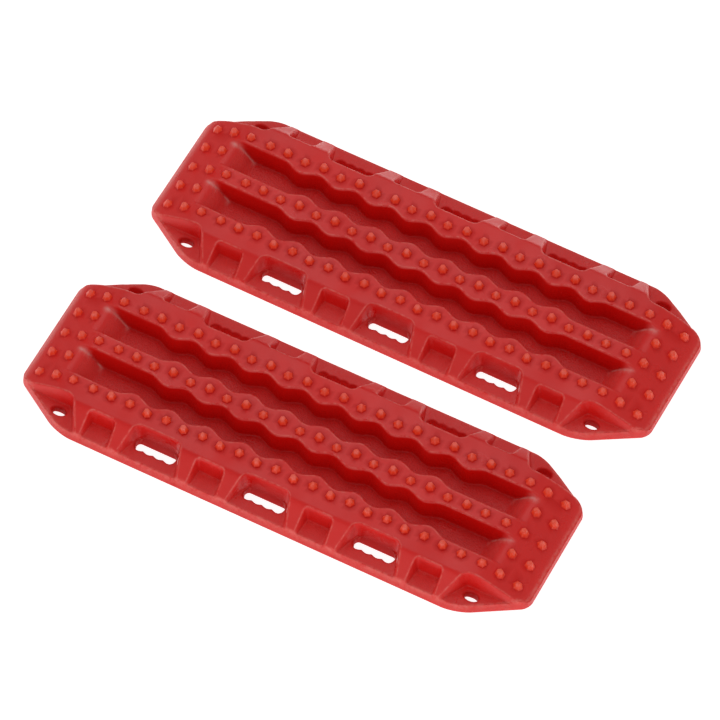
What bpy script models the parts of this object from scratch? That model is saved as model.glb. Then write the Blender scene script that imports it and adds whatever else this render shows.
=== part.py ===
"""A pair of tyre traction mats, laid side by side on the ground.

Each mat is one injection moulding: a hollow deck on a low flange, with pointed
studs in three rows, two winding channels, hand slots and tie-down holes.
Units are metres, +Z is up, +X runs along the mats, and z = 0 is the ground.
"""
import math

import bmesh
import bpy
from mathutils import Vector

# ---------------------------------------------------------------- driving sizes
MAT_LENGTH = 1.150            # one mat, end to end
PITCHES_ALONG_MAT = 27.74     # the mat's length in stud pitches
PITCH = MAT_LENGTH / PITCHES_ALONG_MAT

# Heights above the ground
DECK_HEIGHT = 1.45 * PITCH
FLANGE_HEIGHT = 0.45 * PITCH
RIB_FOOT_HEIGHT = 0.57 * PITCH  # where the ribs between the pockets meet the skirt
END_EDGE_HEIGHT = 0.30 * PITCH
CHANNEL_FLOOR = 0.32 * PITCH
WALL = 0.10 * PITCH           # thickness of the moulding

# Outline on the ground, one quarter of it
HALF_LENGTH = MAT_LENGTH / 2
HALF_WIDTH = 4.83 * PITCH
END_CORNER_Y = 2.98 * PITCH   # where the straight end meets the slanted corner
SIDE_CORNER_X = 10.86 * PITCH  # where the slanted corner meets the long side
END_CORNER_RADIUS = 0.70 * PITCH
SIDE_CORNER_RADIUS = 2.00 * PITCH
SKIRT_LEAN = 0.15 * PITCH     # how far the long skirt leans in from ground to flange
END_LEAN = 0.04 * PITCH       # how far the end face leans in

# Deck
DECK_HALF_WIDTH = 3.55 * PITCH
RAMP_START = 11.35 * PITCH    # the deck slopes down from here to the nose
NOSE_START = 13.47 * PITCH
NOSE_HEIGHT = 0.65 * PITCH
NOSE_HALF_WIDTH = 3.08 * PITCH

# Channels between the stud rows
ROW_SPACING = 2.54 * PITCH
MIDDLE_RIDGE_HALF = 0.50 * PITCH
MIDDLE_BULGE = 0.29 * PITCH
OUTER_RIDGE_EDGE = 2.12 * PITCH
OUTER_BULGE = 0.32 * PITCH
MIDDLE_BULGE_REACH = 7        # pitches from the mid-length to the last bulge
OUTER_BULGE_REACH = 8
CHANNEL_TOP_HALF = 11.60 * PITCH
CHANNEL_FLOOR_HALF = 10.60 * PITCH
CHANNEL_DRAFT = 0.09 * PITCH

# Side pockets, measured from the mat's middle
HANDLE_POCKETS = (-5.95 * PITCH, 0.0, 5.95 * PITCH)
HANDLE_POCKET_INNER_Y = 3.26 * PITCH
HANDLE_POCKET_INNER_HALF = 1.19 * PITCH
HANDLE_POCKET_OUTER_HALF = 1.63 * PITCH
SMALL_POCKETS = ((2.95 * PITCH, 0.74 * PITCH), (8.86 * PITCH, 0.71 * PITCH))
SMALL_POCKET_INNER_Y = 3.59 * PITCH
SMALL_POCKET_SPREAD = 0.055 * PITCH  # how much its half-width grows towards the rim
CORNER_POCKET_INNER_X = 10.68 * PITCH
CORNER_POCKET_RIM_X = 9.92 * PITCH
CORNER_POCKET_Y = 3.27 * PITCH
POCKET_DRAFT = 0.12 * PITCH

# Hand slots and tie-down holes
SLOT_HALF_LENGTH = 1.09 * PITCH
SLOT_INNER_Y = 3.43 * PITCH
SLOT_OUTER_Y = 3.98 * PITCH
SLOT_CORNER = 0.34 * PITCH
FINGERS = 4
FINGER_DEPTH = 0.11 * PITCH
TIE_HOLE_X = 11.22 * PITCH
TIE_HOLE_Y = 3.89 * PITCH
TIE_HOLE_HALF_LENGTH = 0.37 * PITCH
TIE_HOLE_HALF_WIDTH = 0.24 * PITCH

# Studs
STUD_BASE_RADIUS = 0.25 * PITCH
STUD_TIP_RADIUS = 0.11 * PITCH
STUD_HEIGHT = 0.32 * PITCH
STUD_ROOT = 0.10 * PITCH      # how far a stud reaches into the deck
STUD_SIDES = 6
LAST_EVEN_COLUMN = 10         # columns 0 to 10 are one pitch apart
END_COLUMNS = (11.10 * PITCH, 12.06 * PITCH, 13.02 * PITCH)
EXTRA_STUD_Y = 1.29 * PITCH   # extra studs between the rows of the last columns
ZIGZAG = 0.055 * PITCH
ZIGZAG_REACH = 8

# Hollows under the deck
CELL_PITCH = 2.0 * PITCH
CELL_ROW_HALF = 11.35 * PITCH
RIB = 0.11 * PITCH
POCKET_MARGIN = 0.30 * PITCH  # a cell steps in this far before a handle pocket
RECESS_INNER_Y = 0.95 * PITCH  # recess under each channel floor
RECESS_OUTER_Y = 1.66 * PITCH
BUTTRESS_OUTER_Y = 4.44 * PITCH
BUTTRESS_ROOF = 0.15 * PITCH  # measured straight up through the sloping ribs
SKIRT_INNER_Y = 4.54 * PITCH
END_CELLS = 4                 # side by side under each end

# How the pair lies
REAR_OFFSET = Vector((0.80 * PITCH, 11.39 * PITCH, 0.0))
REAR_TURN = math.radians(-0.585)

CLEARANCE = 0.6 * PITCH       # how far cutters run past the surfaces they cut
WAVE_STEPS = 4                # straight facets to each pitch of a channel wall
ARC_STEPS = 6
FLAT_ANGLE = math.radians(0.2)  # faces of the blank closer than this are one face


# ---------------------------------------------------------------- helpers
def clear_scene():
    for item in list(bpy.data.objects):
        bpy.data.objects.remove(item, do_unlink=True)


def new_collection(name):
    collection = bpy.data.collections.new(name)
    bpy.context.scene.collection.children.link(collection)
    return collection


def add_object(name, mesh, collection):
    item = bpy.data.objects.new(name, mesh)
    collection.objects.link(item)
    return item


def mesh_from(bm, name):
    bmesh.ops.recalc_face_normals(bm, faces=bm.faces)
    mesh = bpy.data.meshes.new(name)
    bm.to_mesh(mesh)
    bm.free()
    return mesh


def loft(bm, low, high):
    """Close a body between two rings with the same number of points."""
    bottom = [bm.verts.new(point) for point in low]
    top = [bm.verts.new(point) for point in high]
    bm.faces.new(bottom)
    bm.faces.new(top)
    count = len(low)
    for i in range(count):
        j = (i + 1) % count
        bm.faces.new((bottom[i], bottom[j], top[j], top[i]))


def hull(bm, points):
    """Add the convex hull of some points as a closed body."""
    verts = [bm.verts.new(point) for point in points]
    made = bmesh.ops.convex_hull(bm, input=verts)
    inside = [item for item in made["geom_interior"] if isinstance(item, bmesh.types.BMVert)]
    bmesh.ops.delete(bm, geom=inside, context="VERTS")


def at_height(outline, z):
    return [(x, y, z) for x, y in outline]


def rounded(corner, before, after, radius, steps=ARC_STEPS):
    """Points of the arc that rounds one corner of an outline."""
    corner = Vector(corner)
    back = (Vector(before) - corner).normalized()
    ahead = (Vector(after) - corner).normalized()
    half_angle = back.angle(ahead) / 2
    setback = radius / math.tan(half_angle)
    centre = corner + (back + ahead).normalized() * radius / math.sin(half_angle)
    start = corner + back * setback - centre
    turn = math.pi - 2 * half_angle
    if back.x * ahead.y - back.y * ahead.x > 0:
        turn = -turn
    points = []
    for i in range(steps + 1):
        angle = turn * i / steps
        x = start.x * math.cos(angle) - start.y * math.sin(angle)
        y = start.x * math.sin(angle) + start.y * math.cos(angle)
        points.append((centre.x + x, centre.y + y))
    return points


def boolean(item, cutter, operation):
    modifier = item.modifiers.new(cutter.name, "BOOLEAN")
    modifier.operation = operation
    modifier.solver = "EXACT"
    modifier.object = cutter


# ---------------------------------------------------------------- the blank
def quarter_outline(end_inset, side_inset):
    """Outline of the quarter at +X, +Y, from the middle of the end to the long side."""
    end = HALF_LENGTH - end_inset
    side = HALF_WIDTH - side_inset
    normal = Vector((HALF_WIDTH - END_CORNER_Y, HALF_LENGTH - SIDE_CORNER_X)).normalized()
    reach = normal.dot(Vector((HALF_LENGTH, END_CORNER_Y))) - (end_inset + side_inset) / 2
    end_corner = (end, (reach - normal.x * end) / normal.y)
    side_corner = ((reach - normal.y * side) / normal.x, side)
    first = rounded(end_corner, (end, 0), side_corner, END_CORNER_RADIUS)
    second = rounded(side_corner, end_corner, (0, side), SIDE_CORNER_RADIUS)
    return first + second


def mirrored(points):
    """Repeat points of the +X, +Y quarter in the other three quarters."""
    result = []
    for sign_x, sign_y in ((1, 1), (-1, 1), (-1, -1), (1, -1)):
        result += [(sign_x * x, sign_y * y, z) for x, y, z in points]
    return result


def skirt_top(x):
    """Height of the skirt's top edge: it dips from the long sides to the ends."""
    share = (abs(x) - SIDE_CORNER_X) / (HALF_LENGTH - SIDE_CORNER_X)
    share = min(max(share, 0.0), 1.0)
    return RIB_FOOT_HEIGHT + (END_EDGE_HEIGHT - RIB_FOOT_HEIGHT) * share


def deck_surface(x):
    """Height of the deck on the mat's centre line."""
    beyond = max(0.0, abs(x) - RAMP_START)
    return DECK_HEIGHT - beyond * (DECK_HEIGHT - NOSE_HEIGHT) / (NOSE_START - RAMP_START)


def build_blank():
    """The mat before anything is cut: the hull of skirt, deck and nose."""
    side_inset = SKIRT_LEAN * RIB_FOOT_HEIGHT / FLANGE_HEIGHT
    ground = [(x, y, 0.0) for x, y in quarter_outline(0.0, 0.0)]
    skirt = [(x, y, skirt_top(x)) for x, y in quarter_outline(END_LEAN, side_inset)]
    deck = [(RAMP_START, DECK_HALF_WIDTH, DECK_HEIGHT)]
    nose = [(NOSE_START, NOSE_HALF_WIDTH, NOSE_HEIGHT)]
    bm = bmesh.new()
    hull(bm, mirrored(ground + skirt + deck + nose))
    bmesh.ops.dissolve_limit(bm, angle_limit=FLAT_ANGLE, verts=bm.verts, edges=bm.edges)
    return mesh_from(bm, "blank")


# ---------------------------------------------------------------- channels
def bump(x, centre):
    distance = abs(x / PITCH - centre)
    if distance >= 1:
        return 0.0
    return 0.5 + 0.5 * math.cos(math.pi * distance)


def middle_ridge_edge(x):
    """Half-width of the ridge under the middle stud row."""
    centres = range(-MIDDLE_BULGE_REACH, MIDDLE_BULGE_REACH + 1, 2)
    return MIDDLE_RIDGE_HALF + MIDDLE_BULGE * sum(bump(x, c) for c in centres)


def outer_ridge_edge(x):
    """Distance from the mat's middle to an outer ridge's channel wall."""
    centres = range(-OUTER_BULGE_REACH, OUTER_BULGE_REACH + 1, 2)
    return OUTER_RIDGE_EDGE - OUTER_BULGE * sum(bump(x, c) for c in centres)


def wave_stations(start, stop):
    steps = max(2, round((stop - start) / PITCH * WAVE_STEPS))
    return [start + (stop - start) * i / steps for i in range(steps + 1)]


def channel_ring(half_length, draft, z, side):
    """One level of a channel: along the middle ridge, back along the outer one."""
    stations = wave_stations(-CHANNEL_FLOOR_HALF, CHANNEL_FLOOR_HALF)
    stations[0] = -half_length
    stations[-1] = half_length
    inner = [(x, side * (middle_ridge_edge(x) + draft), z) for x in stations]
    outer = [(x, side * (outer_ridge_edge(x) - draft), z) for x in reversed(stations)]
    return inner + outer


def build_channels():
    rise = DECK_HEIGHT + CLEARANCE - CHANNEL_FLOOR
    spread = rise / (DECK_HEIGHT - CHANNEL_FLOOR)
    top_half = CHANNEL_FLOOR_HALF + (CHANNEL_TOP_HALF - CHANNEL_FLOOR_HALF) * spread
    draft_above = CHANNEL_DRAFT * (1 - spread)
    bm = bmesh.new()
    for side in (1, -1):
        low = channel_ring(CHANNEL_FLOOR_HALF, CHANNEL_DRAFT, CHANNEL_FLOOR, side)
        high = channel_ring(top_half, draft_above, DECK_HEIGHT + CLEARANCE, side)
        loft(bm, low, high)
    return mesh_from(bm, "channels")


# ---------------------------------------------------------------- pockets
def pocket(bm, inner_y, inner_half, outer_half, centre, side):
    """A pocket open at the top and at the long side, with drafted walls."""
    rim_y = HALF_WIDTH - SKIRT_LEAN
    outer_y = HALF_WIDTH + CLEARANCE
    widen = (outer_half - inner_half) / (rim_y - inner_y)

    def ring(z):
        lean = POCKET_DRAFT * (DECK_HEIGHT - z) / (DECK_HEIGHT - FLANGE_HEIGHT)
        near = inner_y + lean
        near_half = inner_half + widen * lean - lean
        far_half = inner_half + widen * (outer_y - inner_y) - lean
        plan = ((-near_half, near), (near_half, near), (far_half, outer_y), (-far_half, outer_y))
        return [(centre + x, side * y, z) for x, y in plan]

    loft(bm, ring(FLANGE_HEIGHT), ring(DECK_HEIGHT + CLEARANCE))


def corner_pocket(bm, end, side):
    """The three-sided pocket at a slanted corner."""
    outer_y = HALF_WIDTH + CLEARANCE
    outer_x = HALF_LENGTH + CLEARANCE
    rim_y = HALF_WIDTH - SKIRT_LEAN
    run = (CORNER_POCKET_INNER_X - CORNER_POCKET_RIM_X) / (rim_y - CORNER_POCKET_Y)

    def ring(z):
        lean = POCKET_DRAFT * (DECK_HEIGHT - z) / (DECK_HEIGHT - FLANGE_HEIGHT)
        near_x = CORNER_POCKET_INNER_X + lean
        far_x = near_x - run * (outer_y - CORNER_POCKET_Y)
        near_y = CORNER_POCKET_Y + lean
        plan = ((near_x, near_y), (outer_x, near_y), (outer_x, outer_y), (far_x, outer_y))
        return [(end * x, side * y, z) for x, y in plan]

    loft(bm, ring(FLANGE_HEIGHT), ring(DECK_HEIGHT + CLEARANCE))


def build_pockets():
    bm = bmesh.new()
    for side in (1, -1):
        for centre in HANDLE_POCKETS:
            pocket(bm, HANDLE_POCKET_INNER_Y, HANDLE_POCKET_INNER_HALF, HANDLE_POCKET_OUTER_HALF,
                   centre, side)
        for end in (1, -1):
            for centre, half in SMALL_POCKETS:
                pocket(bm, SMALL_POCKET_INNER_Y, half, half + SMALL_POCKET_SPREAD,
                       end * centre, side)
            corner_pocket(bm, end, side)
    return mesh_from(bm, "pockets")


# ---------------------------------------------------------------- openings
def slot_outline():
    """A hand slot: straight inner edge, a row of finger scallops outside."""
    half = SLOT_HALF_LENGTH
    left = rounded((-half, SLOT_INNER_Y), (-half, SLOT_OUTER_Y), (half, SLOT_INNER_Y), SLOT_CORNER)
    right = [(-x, y) for x, y in reversed(left)]
    scallops = []
    steps = FINGERS * ARC_STEPS
    for i in range(steps + 1):
        share = i / steps
        wave = abs(math.sin(math.pi * FINGERS * share))
        scallops.append((half - 2 * half * share, SLOT_OUTER_Y + FINGER_DEPTH * wave))
    return left + right + scallops


def tie_hole_outline():
    steps = 4 * ARC_STEPS
    points = []
    for i in range(steps):
        angle = 2 * math.pi * i / steps
        x = TIE_HOLE_X + TIE_HOLE_HALF_LENGTH * math.cos(angle)
        points.append((x, TIE_HOLE_Y + TIE_HOLE_HALF_WIDTH * math.sin(angle)))
    return points


def build_openings():
    bm = bmesh.new()
    top = FLANGE_HEIGHT + CLEARANCE / 2
    for side in (1, -1):
        for centre in HANDLE_POCKETS:
            plan = [(centre + x, side * y) for x, y in slot_outline()]
            loft(bm, at_height(plan, -CLEARANCE), at_height(plan, top))
        for end in (1, -1):
            plan = [(end * x, side * y) for x, y in tie_hole_outline()]
            loft(bm, at_height(plan, -CLEARANCE), at_height(plan, top))
    return mesh_from(bm, "openings")


# ---------------------------------------------------------------- hollows
def cell(bm, start, stop, low_edge, high_edge, top):
    """One hollow under the deck, between two edges given as functions of x."""
    stations = wave_stations(start, stop)
    low = [(x, low_edge(x)) for x in stations]
    high = [(x, high_edge(x)) for x in reversed(stations)]
    loft(bm, at_height(low + high, -CLEARANCE), at_height(low + high, top))


def cell_spans():
    """Start and stop of each cell along the mat, with a cross rib between cells."""
    count = math.floor(CELL_ROW_HALF / CELL_PITCH)
    walls = [i * CELL_PITCH for i in range(-count, count + 1)]
    walls = [-CELL_ROW_HALF] + walls + [CELL_ROW_HALF]
    return [(a + RIB / 2, b - RIB / 2) for a, b in zip(walls, walls[1:])]


def outer_cell_edge(x):
    """Outer side of the cells under an outer ridge, stepping in at the pockets."""
    for centre in HANDLE_POCKETS:
        if abs(x - centre) < HANDLE_POCKET_INNER_HALF + POCKET_MARGIN:
            return HANDLE_POCKET_INNER_Y - WALL
    if abs(x) > CORNER_POCKET_INNER_X - POCKET_MARGIN:
        return HANDLE_POCKET_INNER_Y - WALL
    return SMALL_POCKET_INNER_Y - WALL


def build_ridge_hollows():
    """Open cells under the three ridges, kept apart by cross ribs."""
    bm = bmesh.new()
    top = DECK_HEIGHT - WALL
    slack = WALL + CHANNEL_DRAFT / 2
    for start, stop in cell_spans():
        cell(bm, start, stop, lambda x: slack - middle_ridge_edge(x),
             lambda x: middle_ridge_edge(x) - slack, top)
        cell(bm, start, stop, lambda x: outer_ridge_edge(x) + slack, outer_cell_edge, top)
        cell(bm, start, stop, lambda x: -outer_cell_edge(x),
             lambda x: -outer_ridge_edge(x) - slack, top)
    return mesh_from(bm, "ridge_hollows")


def prism(bm, corners):
    """A hollow open at the ground, over the given corners of its ceiling."""
    floor = [(x, y, -CLEARANCE) for x, y, z in corners]
    hull(bm, floor + list(corners))


def build_floor_recesses():
    """Shallow recesses under the channel floors and the small pockets."""
    bm = bmesh.new()
    for start, stop in cell_spans():
        stop = min(stop, CHANNEL_FLOOR_HALF)
        start = max(start, -CHANNEL_FLOOR_HALF)
        for side in (1, -1):
            plan = [(x, side * y) for x in (start, stop) for y in (RECESS_INNER_Y, RECESS_OUTER_Y)]
            prism(bm, at_height(plan, CHANNEL_FLOOR - WALL))
    for side in (1, -1):
        for end in (1, -1):
            for centre, half in SMALL_POCKETS:
                near = SMALL_POCKET_INNER_Y + POCKET_DRAFT + WALL
                inner_half = half - POCKET_DRAFT - WALL
                plan = [(end * centre + x, side * y) for x in (-inner_half, inner_half)
                        for y in (near, SKIRT_INNER_Y)]
                prism(bm, at_height(plan, FLANGE_HEIGHT - WALL))
    return mesh_from(bm, "floor_recesses")


def side_walls():
    """Walls of the pockets along one long side: pairs of x at a given y."""
    rim_y = HALF_WIDTH - SKIRT_LEAN
    handle_slope = HANDLE_POCKET_OUTER_HALF - HANDLE_POCKET_INNER_HALF
    handle_slope /= rim_y - HANDLE_POCKET_INNER_Y
    small_slope = SMALL_POCKET_SPREAD / (rim_y - SMALL_POCKET_INNER_Y)
    run = (CORNER_POCKET_INNER_X - CORNER_POCKET_RIM_X) / (rim_y - CORNER_POCKET_Y)
    pockets = []
    for centre in HANDLE_POCKETS:
        pockets.append((centre, HANDLE_POCKET_INNER_HALF, handle_slope, HANDLE_POCKET_INNER_Y))
    for centre, half in SMALL_POCKETS:
        for end in (1, -1):
            pockets.append((end * centre, half, small_slope, SMALL_POCKET_INNER_Y))
    pockets.sort()

    def edges_at(y):
        corner = CORNER_POCKET_INNER_X - run * (y - CORNER_POCKET_Y)
        edges = [-corner]
        for centre, half, slope, start in pockets:
            reach = half + slope * (y - start)
            edges += [centre - reach, centre + reach]
        edges.append(corner)
        return list(zip(edges[::2], edges[1::2]))

    return edges_at


def buttress_height(y):
    """Height of the ribs between the pockets, down from the deck to the skirt."""
    foot_y = HALF_WIDTH - SKIRT_LEAN * RIB_FOOT_HEIGHT / FLANGE_HEIGHT
    fall = (DECK_HEIGHT - RIB_FOOT_HEIGHT) / (foot_y - DECK_HALF_WIDTH)
    return DECK_HEIGHT - fall * (y - DECK_HALF_WIDTH)


def build_buttress_hollows():
    """Hollows under the sloping ribs between the side pockets."""
    bm = bmesh.new()
    edges_at = side_walls()
    near = SMALL_POCKET_INNER_Y - WALL + RIB
    for near_span, far_span in zip(edges_at(near), edges_at(BUTTRESS_OUTER_Y)):
        for side in (1, -1):
            corners = []
            for y, span in ((near, near_span), (BUTTRESS_OUTER_Y, far_span)):
                z = buttress_height(y) - BUTTRESS_ROOF
                corners += [(span[0] + WALL, side * y, z), (span[1] - WALL, side * y, z)]
            prism(bm, corners)
    return mesh_from(bm, "buttress_hollows")


def build_end_hollows():
    """Open cells under each end, where the deck slopes down to the nose."""
    bm = bmesh.new()
    inner_x = CHANNEL_TOP_HALF + WALL
    outer_x = NOSE_START - WALL
    width = 2 * (NOSE_HALF_WIDTH - WALL) / END_CELLS
    for end in (1, -1):
        for i in range(END_CELLS):
            low_y = -NOSE_HALF_WIDTH + WALL + i * width + RIB / 2
            high_y = low_y + width - RIB
            corners = []
            for x in (inner_x, outer_x):
                z = deck_surface(x) - WALL
                corners += [(end * x, low_y, z), (end * x, high_y, z)]
            prism(bm, corners)
    return mesh_from(bm, "end_hollows")


# ---------------------------------------------------------------- studs
def stud_places():
    places = []
    for row in (-1, 0, 1):
        for column in range(-LAST_EVEN_COLUMN, LAST_EVEN_COLUMN + 1):
            shift = 0.0
            if abs(column) <= ZIGZAG_REACH:
                shift = ZIGZAG * (-1) ** (column + 1)
            if row != 0:
                shift *= row
            places.append((column * PITCH, row * ROW_SPACING + shift))
        for x in END_COLUMNS:
            places += [(x, row * ROW_SPACING), (-x, row * ROW_SPACING)]
    for x in END_COLUMNS[1:]:
        for y in (-EXTRA_STUD_Y, EXTRA_STUD_Y):
            places += [(x, y), (-x, y)]
    return places


def build_studs():
    bm = bmesh.new()
    depth = STUD_HEIGHT + STUD_ROOT
    slope = (STUD_BASE_RADIUS - STUD_TIP_RADIUS) / STUD_HEIGHT
    for x, y in stud_places():
        made = bmesh.ops.create_cone(bm, cap_ends=True, segments=STUD_SIDES,
                                     radius1=STUD_BASE_RADIUS + slope * STUD_ROOT,
                                     radius2=STUD_TIP_RADIUS, depth=depth)
        centre = Vector((x, y, deck_surface(x) + STUD_HEIGHT - depth / 2))
        bmesh.ops.translate(bm, verts=made["verts"], vec=centre)
    return mesh_from(bm, "studs")


# ---------------------------------------------------------------- the mats
def red_nylon():
    """Red glass-filled nylon, slightly glossy."""
    material = bpy.data.materials.new("red_nylon")
    material.use_nodes = True
    shader = material.node_tree.nodes["Principled BSDF"]
    shader.inputs["Base Color"].default_value = (0.50, 0.035, 0.032, 1.0)
    shader.inputs["Roughness"].default_value = 0.45
    shader.inputs["Metallic"].default_value = 0.0
    return material


def build_mat_mesh(cutters):
    """Cut and join one mat, and keep the result as a single mesh."""
    blank = add_object("blank", build_blank(), cutters)
    steps = (
        (build_channels, "DIFFERENCE"),
        (build_pockets, "DIFFERENCE"),
        (build_openings, "DIFFERENCE"),
        (build_ridge_hollows, "DIFFERENCE"),
        (build_floor_recesses, "DIFFERENCE"),
        (build_buttress_hollows, "DIFFERENCE"),
        (build_end_hollows, "DIFFERENCE"),
        (build_studs, "UNION"),
    )
    for build, operation in steps:
        mesh = build()
        tool = add_object(mesh.name + "_tool", mesh, cutters)
        tool.hide_render = True
        tool.display_type = "WIRE"
        boolean(blank, tool, operation)
    graph = bpy.context.evaluated_depsgraph_get()
    mesh = bpy.data.meshes.new_from_object(blank.evaluated_get(graph))
    mesh.name = "traction_mat"
    bpy.data.objects.remove(blank, do_unlink=True)
    mesh.materials.clear()
    mesh.materials.append(red_nylon())
    return mesh


def lay_out_pair(front, rear):
    """Lay the rear mat behind the front one, with the pair centred on the origin."""
    rear.location = REAR_OFFSET
    rear.rotation_euler = (0.0, 0.0, REAR_TURN)
    bpy.context.view_layer.update()
    corners = []
    for item in (front, rear):
        corners += [item.matrix_world @ vertex.co for vertex in item.data.vertices]
    middle_x = (min(c.x for c in corners) + max(c.x for c in corners)) / 2
    middle_y = (min(c.y for c in corners) + max(c.y for c in corners)) / 2
    for item in (front, rear):
        item.location -= Vector((middle_x, middle_y, 0.0))


def main():
    clear_scene()
    parts = new_collection("tire_traction_mats")
    cutters = new_collection("cutters")
    mesh = build_mat_mesh(cutters)
    front = add_object("front_mat", mesh, parts)
    rear = add_object("rear_mat", mesh, parts)
    lay_out_pair(front, rear)


main()
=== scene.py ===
"""Looks of a pair of tyre traction mats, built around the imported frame.

Each mat is one moulding, so each is one mesh: a top skin with rounded edges,
studs, channels and pockets, an underside with ribbed hollows, and the walls of
its hand slots and tie-down holes. Plan sizes are in stud pitches of one mat.
"""

import math

import bmesh
import bpy
import numpy as np
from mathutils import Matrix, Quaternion, Vector
from mathutils.geometry import delaunay_2d_cdt


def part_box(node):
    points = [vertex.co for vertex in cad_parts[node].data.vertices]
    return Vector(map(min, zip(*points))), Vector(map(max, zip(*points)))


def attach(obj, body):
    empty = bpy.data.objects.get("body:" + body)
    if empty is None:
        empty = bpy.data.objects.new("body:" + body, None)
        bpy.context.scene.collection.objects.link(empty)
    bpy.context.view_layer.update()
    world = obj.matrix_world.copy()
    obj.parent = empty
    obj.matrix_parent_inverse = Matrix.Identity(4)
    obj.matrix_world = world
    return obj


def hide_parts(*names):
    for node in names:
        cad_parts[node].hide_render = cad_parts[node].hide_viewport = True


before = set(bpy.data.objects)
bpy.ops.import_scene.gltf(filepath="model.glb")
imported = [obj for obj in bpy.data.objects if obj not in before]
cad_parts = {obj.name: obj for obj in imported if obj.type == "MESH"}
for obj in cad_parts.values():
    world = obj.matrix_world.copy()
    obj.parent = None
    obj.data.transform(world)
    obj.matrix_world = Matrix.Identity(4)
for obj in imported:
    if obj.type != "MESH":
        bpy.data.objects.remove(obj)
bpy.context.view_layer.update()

# ---------------------------------------------------------------- sizes, in pitches
front_low, front_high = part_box("front_mat")
rear_low, rear_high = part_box("rear_mat")
PITCHES_ALONG_MAT = 27.74
PITCH = (front_high.x - front_low.x) / PITCHES_ALONG_MAT
REAR_TURN = math.radians(-0.585)

DECK = 1.45                   # heights above the ground
FLANGE = 0.45
RIB_FOOT = 0.57
END_EDGE = 0.30
CHANNEL_FLOOR = 0.32
WALL = 0.10

HALF_LENGTH = 13.87
HALF_WIDTH = 4.83
END_CORNER_Y = 2.98
SIDE_CORNER_X = 10.86
END_CORNER_ROUND = 0.34
SIDE_CORNER_ROUND = 0.42
SKIRT_RUN = 0.15              # how far the skirt's face leans in along the sides
END_SKIRT_RUN = 0.04          # and at the ends
SKIRT_CHANGE = (10.8, 13.7)   # stretch of x where one lean turns into the other

DECK_HALF_WIDTH = 3.55
RIB_FOOT_Y = 4.62
RAMP_START = 11.35
RAMP_FALL = 0.385
NOSE_START = 13.47
NOSE_HEIGHT = 0.65
NOSE_HALF_WIDTH = 3.08
SLANT_FOOT = (12.36, 3.80, 0.48)      # a point where the slanted plane meets the skirt
DECK_SOFTNESS = 0.10          # blending where the blank's planes meet
END_SOFTNESS = 0.12
CREASE_SOFTNESS = 0.06

MIDDLE_RIDGE_HALF = 0.50
MIDDLE_BULGE = 0.29
MIDDLE_BULGE_REACH = 7        # the outermost bulge of each ridge
OUTER_RIDGE_EDGE = 2.12
OUTER_BULGE = 0.32
OUTER_BULGE_REACH = 8
CHANNEL_FLOOR_HALF = 10.62
CHANNEL_TOP_HALF = 11.55
CHANNEL_REACH = 12.05
CHANNEL_DRAFT = 0.09
CHANNEL_TOP_ROUND = 0.13
CHANNEL_FOOT_ROUND = 0.11
RAMP_FOOT_SOFTNESS = 0.20     # blending of the channels' end ramps
RAMP_TOP_SOFTNESS = 0.80

HANDLE_CENTRES = (-5.95, 0.0, 5.95)
HANDLE_POCKET = (3.26, 1.19, 0.31)    # inner y, inner half-width, widening
SMALL_POCKETS = ((2.95, 0.74), (8.86, 0.71))
SMALL_POCKET_Y = 3.59
SMALL_POCKET_WIDENING = 0.05
CORNER_POCKET = (3.27, 10.68, 0.540)  # inner y, inner x, run of its side wall
HANDLE_POCKET_ROUND = 0.28
SMALL_POCKET_ROUND = 0.20
CORNER_POCKET_ROUND = 0.22
POCKET_DRAFT = 0.12
POCKET_TOP_ROUND = 0.10
POCKET_FOOT_ROUND = 0.035
CORNER_LINE_REACH = 13.35     # where the lines round the corner pockets stop at the nose

SLOT_HALF_LENGTH = 1.09
SLOT_TOP = (3.375, 3.95)      # inner and outer y at the top edge
SLOT_GROUND = (3.455, 3.88)   # inner and outer y at the ground
SLOT_CORNER = 0.34
SLOT_OUTER_CORNER = 0.20
SLOT_EDGE = 0.11              # rounding of the slot and hole edges
FINGERS = 4
FINGER_DEPTH = 0.09
FINGER_CUSP = 0.03            # softening of the cusps between the scallops
TIE_HOLE = (11.22, 3.87, 0.37, 0.22)  # centre x, y and half sizes at the top
TIE_HOLE_GROUND = (11.22, 3.82, 0.35, 0.13)

ROW_SPACING = 2.54
STUD_COLUMNS = 10
END_COLUMNS = (11.10, 12.06, 13.02)
EXTRA_STUD_Y = 1.29
ZIGZAG = 0.055
ZIGZAG_REACH = 8
STUD_BASE = 0.205             # half-width over the flats, at the deck
POINTED_TIP = 0.075
BLUNT_TIP = 0.13
STUD_HEIGHT = 0.32
STUD_REACH = STUD_BASE + 0.03  # where a stud's foot meets the deck
# stud profiles from the axis outwards: half-width over the flats, share of the height there
STUD_FOOT = ((STUD_BASE - 0.01, 0.26), (STUD_BASE + 0.01, 0.16), (STUD_REACH, 0.0))
POINTED_STUD = ((0.0, 1.0), (POINTED_TIP - 0.03, 1.0), (POINTED_TIP, 0.93), (0.16, 0.42)) + STUD_FOOT
BLUNT_STUD = ((0.0, 1.0), (BLUNT_TIP - 0.03, 1.0), (BLUNT_TIP, 0.92), (0.175, 0.50)) + STUD_FOOT

RIB_HALF = 0.055              # half the thickness of the ribs in the underside
HOLLOW_SPAN = 2               # ribs stand at every second stud
CHANNEL_HOLLOW = (0.95, 1.66)         # y span of the recesses under the channel floors
SMALL_HOLLOW_OUTER = 4.48     # outer y of the recesses under the small pockets
BUTTRESS_HOLLOW_OUTER = 4.38  # outer y of the hollows between the side pockets
END_HOLLOWS = 4
HOLLOW_EDGE = ((0.03, 0.94), (0.07, 1.0))     # inset and share of height at a hollow's roof

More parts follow.
